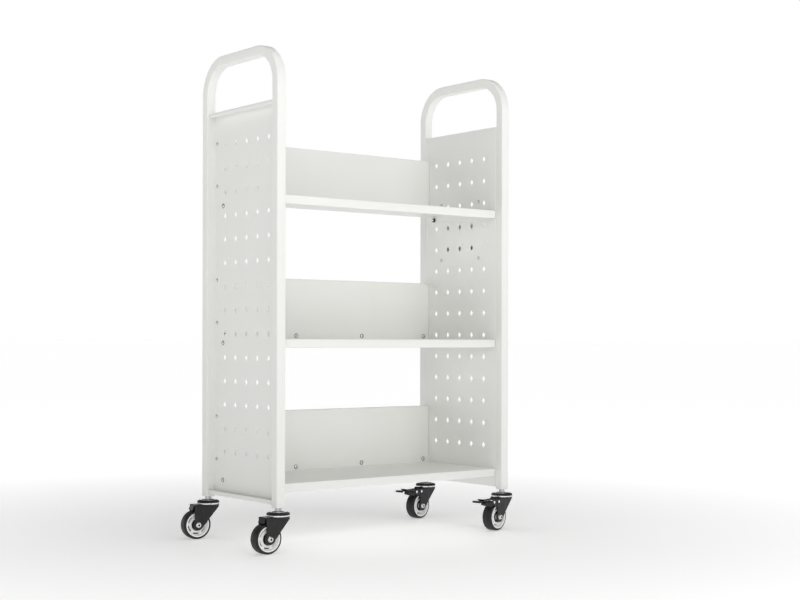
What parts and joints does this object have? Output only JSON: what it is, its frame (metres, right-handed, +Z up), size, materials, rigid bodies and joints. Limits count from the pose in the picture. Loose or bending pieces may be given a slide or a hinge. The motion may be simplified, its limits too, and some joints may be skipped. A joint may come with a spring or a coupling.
{
  "type": "book cart",
  "caption": "Single-sided steel book cart with flat shelves, upright back plates, bent-tube end frames with perforated side panels, and swivel casters, some with brakes.",
  "frame": {"origin": "on the floor, under the middle of the bounding box, which the trailing casters put 21.6 mm to the left of the middle of the frame", "axes": "+X along the cart to its right-hand end frame, +Y from the open front to the back plates, +Z up"},
  "size_m": [0.8375, 0.4014, 1.25],
  "materials": {
    "ivory_paint": "smooth satin powder coat",
    "zinc": "zinc plated",
    "bright_zinc": "bright zinc plated",
    "black_nut": "black oxide",
    "black_plastic": "moulded satin",
    "black_steel": "black powder coat",
    "white_plastic": "moulded semi-gloss",
    "tread": "moulded rubber"
  },
  "bodies": {
    "cart": {"end_frame_left": "ivory_paint", "end_frame_right": "ivory_paint", "side_panel_left": "ivory_paint", "side_panel_right": "ivory_paint", "shelf_tray_bottom": "ivory_paint", "shelf_tray_middle": "ivory_paint", "shelf_tray_top": "ivory_paint", "back_plate_bottom": "ivory_paint", "back_plate_middle": "ivory_paint", "back_plate_top": "ivory_paint", "tray_bolts": "zinc", "tray_nuts": "black_nut", "plate_bolts": "zinc", "plate_nuts": "zinc", "plate_end_screws": "zinc", "side_pocket": "ivory_paint", "pocket_screws": "zinc", "pocket_nuts": "zinc", "stem_sockets": "zinc", "stem_fl": "zinc", "cover_fl": "black_plastic", "stem_fr": "zinc", "cover_fr": "black_plastic", "stem_bl": "zinc", "cover_bl": "black_plastic", "stem_br": "zinc", "cover_br": "black_plastic"},
    "fork_front_left": {"race_fl": "bright_zinc", "fork_fl": "black_steel", "axle_fl": "bright_zinc", "axle_nut_fl": "bright_zinc"},
    "wheel_front_left": {"hub_fl": "white_plastic", "tyre_fl": "tread"},
    "fork_front_right": {"race_fr": "bright_zinc", "fork_fr": "black_steel", "axle_fr": "bright_zinc", "axle_nut_fr": "bright_zinc", "brake_pin_fr": "bright_zinc"},
    "wheel_front_right": {"hub_fr": "white_plastic", "tyre_fr": "tread"},
    "pedal_front_right": {"brake_pedal_fr": "black_steel", "brake_release_fr": "black_steel"},
    "fork_back_left": {"race_bl": "bright_zinc", "fork_bl": "black_steel", "axle_bl": "bright_zinc", "axle_nut_bl": "bright_zinc"},
    "wheel_back_left": {"hub_bl": "white_plastic", "tyre_bl": "tread"},
    "fork_back_right": {"race_br": "bright_zinc", "fork_br": "black_steel", "axle_br": "bright_zinc", "axle_nut_br": "bright_zinc", "brake_pin_br": "bright_zinc"},
    "wheel_back_right": {"hub_br": "white_plastic", "tyre_br": "tread"},
    "pedal_back_right": {"brake_pedal_br": "black_steel", "brake_release_br": "black_steel"}
  },
  "joints": [
    {"name": "swivel_front_left", "type": "hinge", "parent": "cart", "child": "fork_front_left", "pos_m": [-0.3459, -0.1665, 0.0885], "axis": [0, 0, 1], "continuous": true},
    {"name": "spin_front_left", "type": "hinge", "parent": "fork_front_left", "child": "wheel_front_left", "pos_m": [-0.3809, -0.1665, 0.0375], "axis": [0, 1, 0], "continuous": true},
    {"name": "swivel_front_right", "type": "hinge", "parent": "cart", "child": "fork_front_right", "pos_m": [0.3891, -0.1665, 0.0885], "axis": [0, 0, 1], "continuous": true},
    {"name": "spin_front_right", "type": "hinge", "parent": "fork_front_right", "child": "wheel_front_right", "pos_m": [0.35486, -0.17378, 0.0375], "axis": [-0.2079, 0.9781, 0], "continuous": true},
    {"name": "brake_front_right", "type": "hinge", "parent": "fork_front_right", "child": "pedal_front_right", "pos_m": [0.349, -0.17502, 0.08], "axis": [0.2079, -0.9781, 0], "range_deg": [0, 8]},
    {"name": "swivel_back_left", "type": "hinge", "parent": "cart", "child": "fork_back_left", "pos_m": [-0.3459, 0.1665, 0.0885], "axis": [0, 0, 1], "continuous": true},
    {"name": "spin_back_left", "type": "hinge", "parent": "fork_back_left", "child": "wheel_back_left", "pos_m": [-0.38056, 0.17137, 0.0375], "axis": [0.1392, 0.9903, 0], "continuous": true},
    {"name": "swivel_back_right", "type": "hinge", "parent": "cart", "child": "fork_back_right", "pos_m": [0.3891, 0.1665, 0.0885], "axis": [0, 0, 1], "continuous": true},
    {"name": "spin_back_right", "type": "hinge", "parent": "fork_back_right", "child": "wheel_back_right", "pos_m": [0.35463, 0.16042, 0.0375], "axis": [-0.1736, 0.9848, 0], "continuous": true},
    {"name": "brake_back_right", "type": "hinge", "parent": "fork_back_right", "child": "pedal_back_right", "pos_m": [0.34872, 0.15938, 0.08], "axis": [0.1736, -0.9848, 0], "range_deg": [0, 8]}
  ]
}
